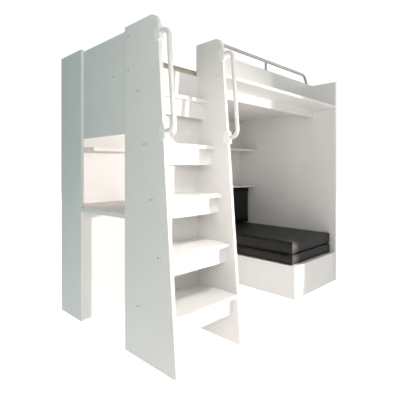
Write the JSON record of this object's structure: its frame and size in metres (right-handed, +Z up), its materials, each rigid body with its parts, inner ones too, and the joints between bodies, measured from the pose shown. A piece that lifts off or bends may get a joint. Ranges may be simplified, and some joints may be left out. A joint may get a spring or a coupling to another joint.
{
  "type": "loft bed with desk",
  "caption": "White loft bed on panel ends with a steep stair between two sides, a desk behind the stair, and a padded seat with shelves under the far end.",
  "frame": {"origin": "middle of the footprint's bounding box, on the floor", "axes": "+X along the bed from the stair end to the seat end, +Y from the stair front to the wall, +Z up"},
  "size_m": [2.0662, 1.3152, 1.935],
  "materials": {
    "white_board": "satin white melamine on board",
    "pine_batten": "planed pine",
    "mattress_fabric": "woven ticking",
    "black_fabric": "plain woven upholstery",
    "rail_steel": "light grey powder coat",
    "guard_steel": "grey powder coat",
    "bracket_white": "moulded, slightly glossy",
    "screw_steel": "zinc plated",
    "cap_plastic": "matte",
    "black_plastic": "matte",
    "glide_plastic": "matte"
  },
  "bodies": {
    "root": {"bed_corner_block": "pine_batten", "bed_end_panel_left": "white_board", "bed_end_panel_right": "white_board", "bed_front_ledge": "white_board", "bed_front_rail": "white_board", "bed_guard_panel": "white_board", "bed_rear_board": "white_board", "bed_side_panel_rear": "white_board", "deck_batten_front": "pine_batten", "deck_batten_rear": "pine_batten", "desk_corner_catch": "black_plastic", "desk_front_batten": "pine_batten", "desk_rear_panel": "white_board", "desk_top": "white_board", "floor_glides": "glide_plastic", "guard_screws": "screw_steel", "guard_tube": "guard_steel", "handrail_bolts": "screw_steel", "handrail_bracket_left_lower": "bracket_white", "handrail_bracket_left_upper": "bracket_white", "handrail_bracket_right_lower": "bracket_white", "handrail_bracket_right_upper": "bracket_white", "handrail_left": "rail_steel", "handrail_right": "rail_steel", "mattress": "mattress_fabric", "mattress_deck_1": "white_board", "mattress_deck_2": "white_board", "mattress_deck_3": "white_board", "screw_caps": "cap_plastic", "screws_in_stair": "screw_steel", "screws_left_face": "screw_steel", "screws_right_face": "screw_steel", "seat_back_cushion": "black_fabric", "seat_batten": "pine_batten", "seat_cushion_lower": "black_fabric", "seat_cushion_upper": "black_fabric", "seat_deck": "white_board", "seat_front_panel": "white_board", "seat_middle_panel": "white_board", "seat_side_panel": "white_board", "shelf_side_panel": "white_board", "stair_apron_1": "white_board", "stair_apron_2": "white_board", "stair_apron_3": "white_board", "stair_apron_4": "white_board", "stair_apron_5": "white_board", "stair_back_panel": "white_board", "stair_side_left": "white_board", "stair_side_right": "white_board", "stair_tread_1": "white_board", "stair_tread_2": "white_board", "stair_tread_3": "white_board", "stair_tread_4": "white_board", "stair_tread_5": "white_board", "tower_shelf": "white_board", "wall_panel_left": "white_board", "wall_panel_right": "white_board", "wall_shelf_lower": "white_board", "wall_shelf_upper": "white_board"}
  },
  "joints": []
}
